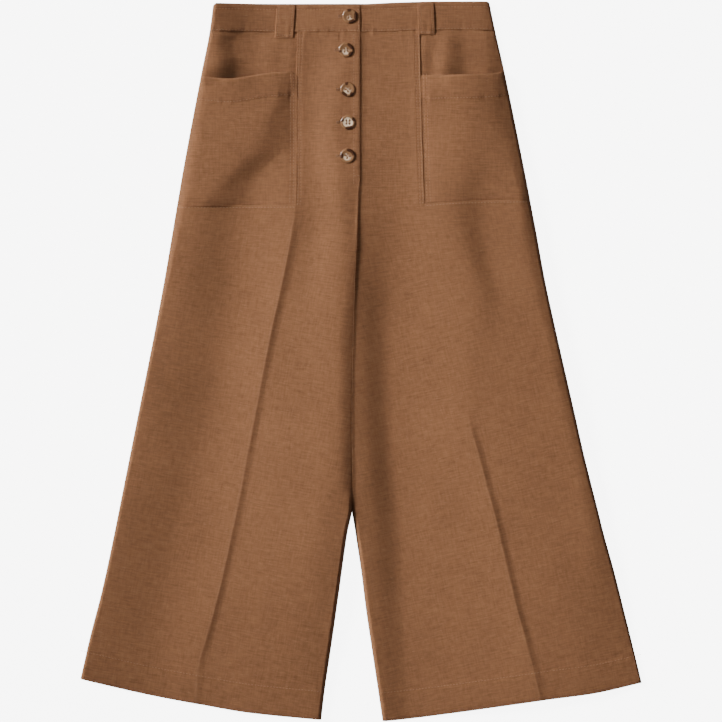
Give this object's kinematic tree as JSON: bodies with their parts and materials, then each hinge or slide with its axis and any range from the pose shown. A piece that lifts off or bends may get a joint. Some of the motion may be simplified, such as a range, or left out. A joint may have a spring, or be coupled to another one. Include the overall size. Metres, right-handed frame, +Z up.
{
  "type": "culottes",
  "caption": "High-waisted wide-leg culottes laid flat, front up, with a buttoned fly, patch hip pockets, belt loops and pressed creases.",
  "frame": {"origin": "middle of the garment's outline, on the surface that it lies on", "axes": "+Y towards the waist, +X towards the wearer's left, +Z up out of the front"},
  "size_m": [0.7024, 0.9, 0.009],
  "materials": {
    "linen": "plain-weave linen, warm brown, slightly slubbed",
    "button": "polished tortoiseshell resin, cream and dark brown",
    "thread": "matching sewing thread"
  },
  "bodies": {
    "root": {"front_right": "linen", "front_left": "linen", "hip_panel_right": "linen", "hip_panel_left": "linen", "pocket_right": "linen", "pocket_left": "linen", "waistband_front_right": "linen", "waistband_front_left": "linen", "waistband_back": "linen", "back_right": "linen", "back_left": "linen", "button_stand": "linen", "belt_loop_right": "linen", "belt_loop_left": "linen", "button_1": "button", "button_2": "button", "button_3": "button", "button_4": "button", "button_5": "button"}
  },
  "joints": []
}
